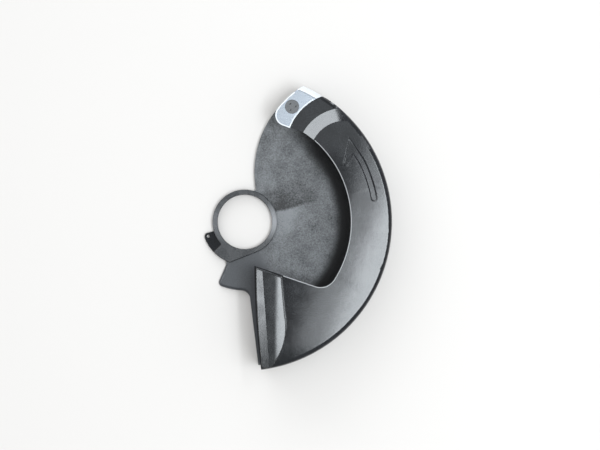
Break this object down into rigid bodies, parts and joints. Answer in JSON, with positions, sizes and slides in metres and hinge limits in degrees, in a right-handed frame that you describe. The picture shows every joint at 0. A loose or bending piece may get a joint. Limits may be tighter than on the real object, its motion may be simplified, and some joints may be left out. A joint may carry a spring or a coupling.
{
  "type": "lower blade guard",
  "caption": "Curved safety cover for a small circular saw blade: pivot ring, open channel rim, raised thumb lever, stop lug, spring hook tab and a steel clip on the leading tip.",
  "frame": {"origin": "centre of the pivot bore, in the back face that the part lies on", "axes": "+Z along the pivot axis from the back wall to the front wall, +X from the pivot towards the rim, +Y towards the leading tip"},
  "size_m": [0.0947, 0.1421, 0.037],
  "materials": {
    "black_plastic": "injection moulded glass-filled nylon, satin front wall and spark-eroded texture inside",
    "bright_steel": "bright pressed sheet with fine rolling lines and rounded edges"
  },
  "bodies": {
    "root": {"guard_moulding": "black_plastic", "steel_clip": "bright_steel"}
  },
  "joints": []
}
